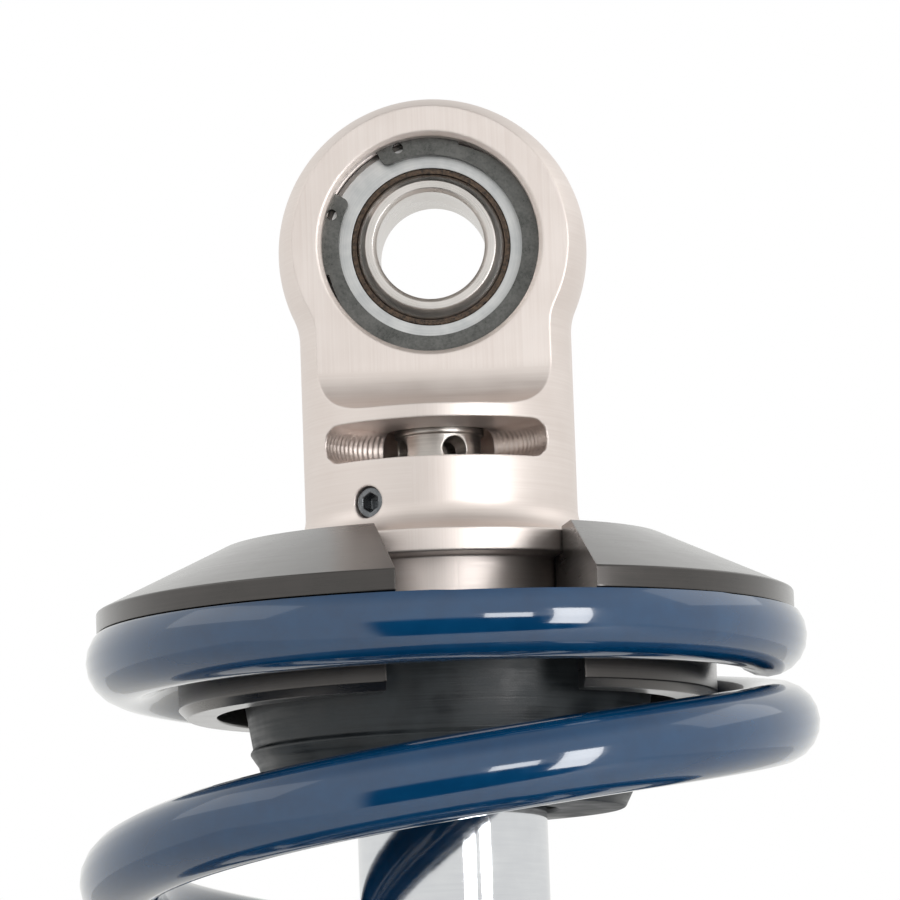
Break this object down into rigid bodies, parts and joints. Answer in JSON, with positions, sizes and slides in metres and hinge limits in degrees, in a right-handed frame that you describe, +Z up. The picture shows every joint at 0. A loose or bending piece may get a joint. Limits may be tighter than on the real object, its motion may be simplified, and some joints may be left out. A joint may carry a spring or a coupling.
{
  "type": "coil-over damper strut",
  "caption": "Coil-over damper: spherical bearing eyes, slotted upper seat with rebound adjuster window, ground coil spring, bump rubber, threaded preload collar.",
  "frame": {"origin": "centre of the lower spherical bearing", "axes": "+Z up the strut towards the upper eye; the bearing bores run along Y; -Y is the side with the adjuster window"},
  "size_m": [0.0866, 0.0865, 0.3064],
  "materials": {
    "satin_anodised": "satin clear anodised, turned and milled",
    "gunmetal_anodised": "satin grey anodised",
    "blue_powder_coat": "gloss powder coat over spring steel",
    "hard_chrome": "ground and polished",
    "polished_steel": "polished",
    "black_phosphate": "phosphated and oiled",
    "black_oxide": "blackened",
    "woven_liner": "woven self-lubricating liner",
    "black_rubber": "moulded, matt",
    "clear_anodised": "clear anodised",
    "bronze": "bronze filled",
    "black_nylon": "moulded"
  },
  "bodies": {
    "damper": {"damper_body": "clear_anodised", "seal_head": "clear_anodised", "shaft_bush": "bronze", "shaft_seal": "black_rubber", "wiper_seal": "black_rubber", "seal_head_oring": "black_rubber", "seal_head_retaining_ring": "black_phosphate", "lower_eye_cap": "satin_anodised", "lower_cap_oring": "black_rubber", "lower_bearing_race": "polished_steel", "lower_bearing_liner": "woven_liner", "lower_retaining_ring_front": "black_phosphate", "lower_retaining_ring_rear": "black_phosphate", "gas_valve": "polished_steel", "gas_valve_cap": "black_oxide"},
    "rod": {"shaft": "hard_chrome", "upper_eyelet": "satin_anodised", "upper_bearing_race": "polished_steel", "upper_bearing_liner": "woven_liner", "upper_retaining_ring_front": "black_phosphate", "upper_retaining_ring_rear": "black_phosphate", "eyelet_lock_screw": "black_oxide", "upper_spring_seat": "gunmetal_anodised", "bump_rubber": "black_rubber", "top_out_bumper": "black_rubber", "top_out_washer": "polished_steel", "compression_shims": "polished_steel", "piston": "clear_anodised", "piston_band": "bronze", "rebound_shims": "polished_steel", "piston_washer": "polished_steel", "piston_nut": "polished_steel"},
    "upper_ball": {"upper_bearing_ball": "polished_steel"},
    "lower_ball": {"lower_bearing_ball": "polished_steel"},
    "adjuster": {"rebound_adjuster": "polished_steel"},
    "needle": {"metering_rod": "polished_steel"},
    "gas_piston": {"floating_piston": "clear_anodised", "floating_piston_oring": "black_rubber"},
    "spring_perch": {"lower_spring_seat": "gunmetal_anodised", "thrust_washer": "black_nylon", "spring": "blue_powder_coat"},
    "collar": {"preload_collar": "gunmetal_anodised", "collar_lock_screw": "black_oxide"}
  },
  "joints": [
    {"name": "rod_slide", "type": "slide", "parent": "damper", "child": "rod", "axis": [0, 0, 1], "range_m": [-0.047, 0], "stiffness_N_per_m": 43000, "deforming": ["spring"]},
    {"name": "gas_piston_slide", "type": "slide", "parent": "damper", "child": "gas_piston", "axis": [0, 0, 1], "range_m": [-0.011, 0]},
    {"name": "upper_ball_swivel", "type": "hinge", "parent": "rod", "child": "upper_ball", "pos_m": [0, 0, 0.27], "axis": [0, 1, 0], "continuous": true},
    {"name": "lower_ball_swivel", "type": "hinge", "parent": "damper", "child": "lower_ball", "pos_m": [0, 0, 0], "axis": [0, 1, 0], "continuous": true},
    {"name": "adjuster_turn", "type": "hinge", "parent": "rod", "child": "adjuster", "pos_m": [0, 0, 0.246], "axis": [0, 0, 1], "range_deg": [0, 1080]},
    {"name": "needle_slide", "type": "slide", "parent": "rod", "child": "needle", "axis": [0, 0, 1], "range_m": [-0.0024, 0]},
    {"name": "preload_slide", "type": "slide", "parent": "damper", "child": "spring_perch", "axis": [0, 0, 1], "range_m": [-0.01, 0]},
    {"name": "collar_turn", "type": "hinge", "parent": "spring_perch", "child": "collar", "pos_m": [0, 0, 0.0615], "axis": [0, 0, 1], "range_deg": [-1200, 0]}
  ],
  "couplings": [
    {"joint": "gas_piston_slide", "follows": "rod_slide", "ratio": 0.23343},
    {"joint": "adjuster_turn", "follows": "needle_slide", "rad_per_m": -7854},
    {"joint": "collar_turn", "follows": "preload_slide", "rad_per_m": 2094.4}
  ]
}
